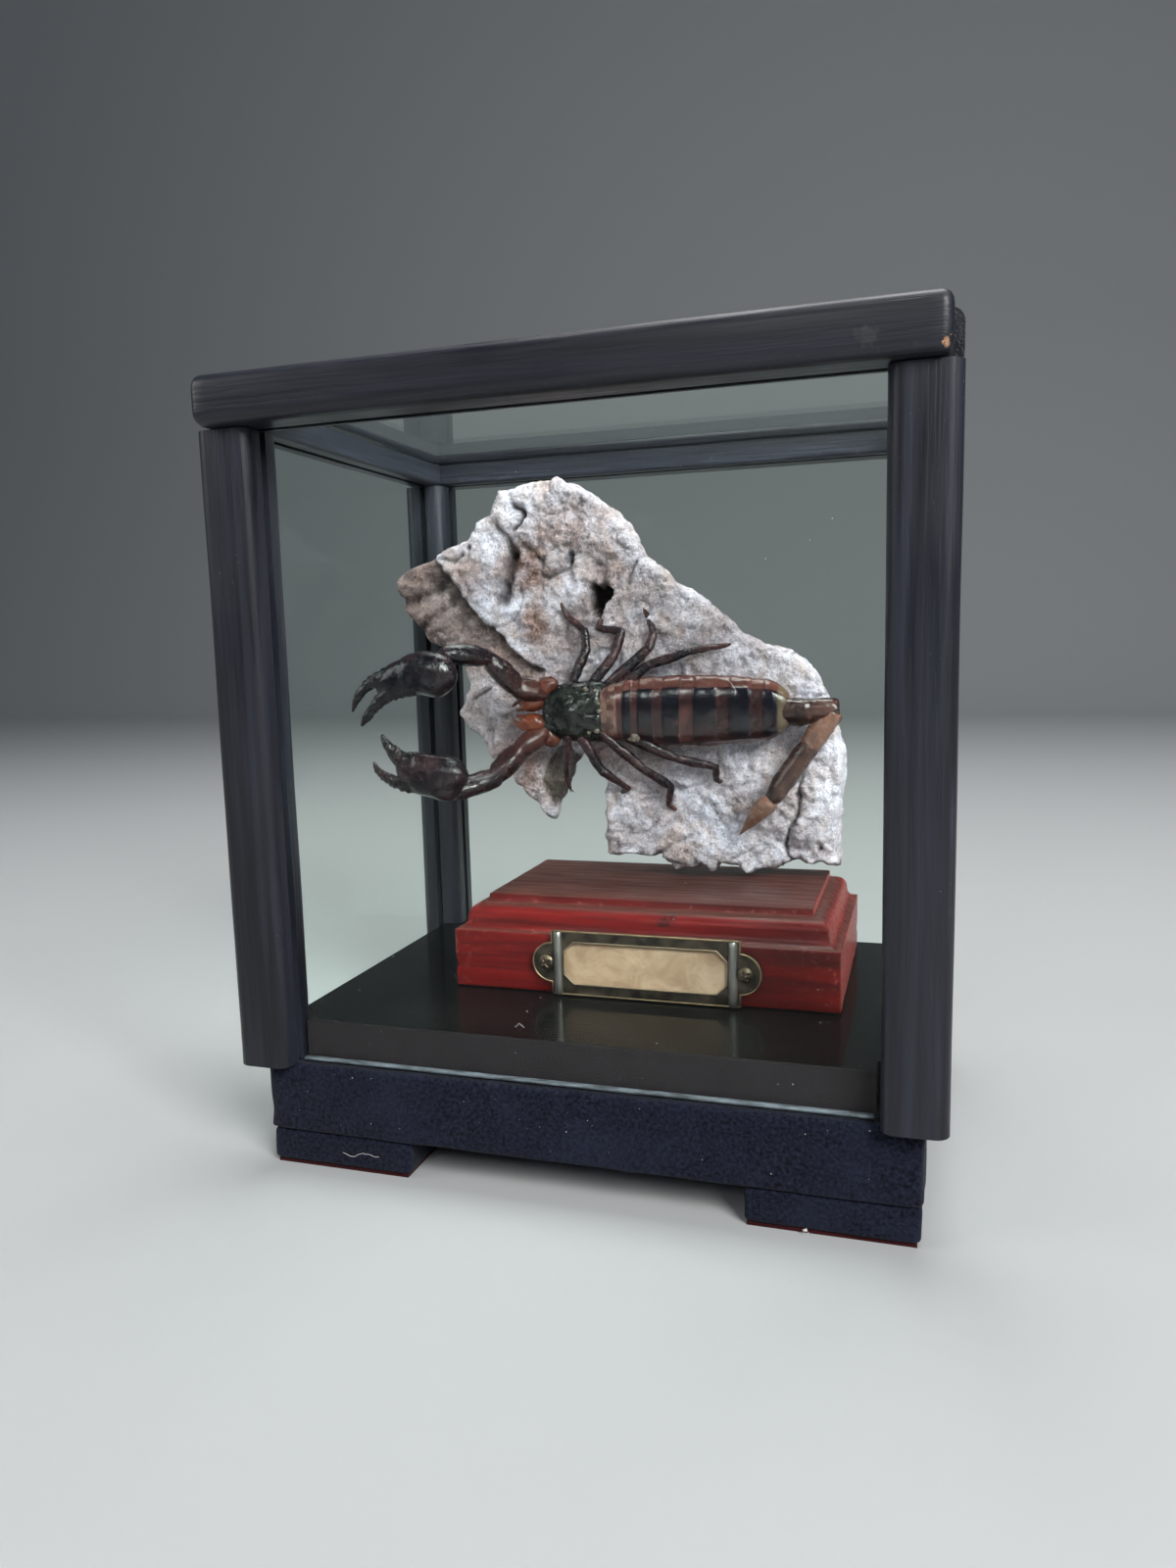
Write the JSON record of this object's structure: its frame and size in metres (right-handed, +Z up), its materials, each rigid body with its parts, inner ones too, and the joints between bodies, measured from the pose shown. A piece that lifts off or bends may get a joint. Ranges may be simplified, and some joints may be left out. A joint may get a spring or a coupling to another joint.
{
  "type": "scorpion specimen in display case",
  "caption": "Dried scorpion fixed on a rough rock above a red moulded block with a card holder, in a small glazed dark wooden case on a footed plinth.",
  "frame": {"origin": "bottom centre of the case, on the surface it stands on", "axes": "+X to the case's right as seen from its front, +Y towards its back, +Z up"},
  "size_m": [0.167, 0.125, 0.19],
  "materials": {
    "stained_wood": "black stain, satin, rounded edges",
    "flock": "navy black flock, speckled",
    "felt": "dark red felt",
    "lacquer": "black, polished top",
    "glass": "clear, slightly green, dusty",
    "red_wood": "mahogany red polish, worn edges",
    "brass": "aged dark, rubbed bright on rims",
    "card": "aged, matte",
    "rock": "rough dry crust",
    "scorpion": "dried shell, glossy"
  },
  "bodies": {
    "root": {"foot_front_left": "flock", "felt_pad_front_left": "felt", "post_front_left": "stained_wood", "foot_front_right": "flock", "felt_pad_front_right": "felt", "post_front_right": "stained_wood", "foot_back_left": "flock", "felt_pad_back_left": "felt", "post_back_left": "stained_wood", "foot_back_right": "flock", "felt_pad_back_right": "felt", "post_back_right": "stained_wood", "plinth": "flock", "floor_board": "lacquer", "top_rail_front": "stained_wood", "top_rail_back": "stained_wood", "top_rail_left": "stained_wood", "top_rail_right": "stained_wood", "glass_front": "glass", "glass_back": "glass", "glass_left": "glass", "glass_right": "glass", "glass_top": "glass", "display_block": "red_wood", "label_holder": "brass", "label_card": "card", "label_screw_left": "brass", "label_screw_right": "brass", "rock": "rock", "scorpion": "scorpion"}
  },
  "joints": []
}
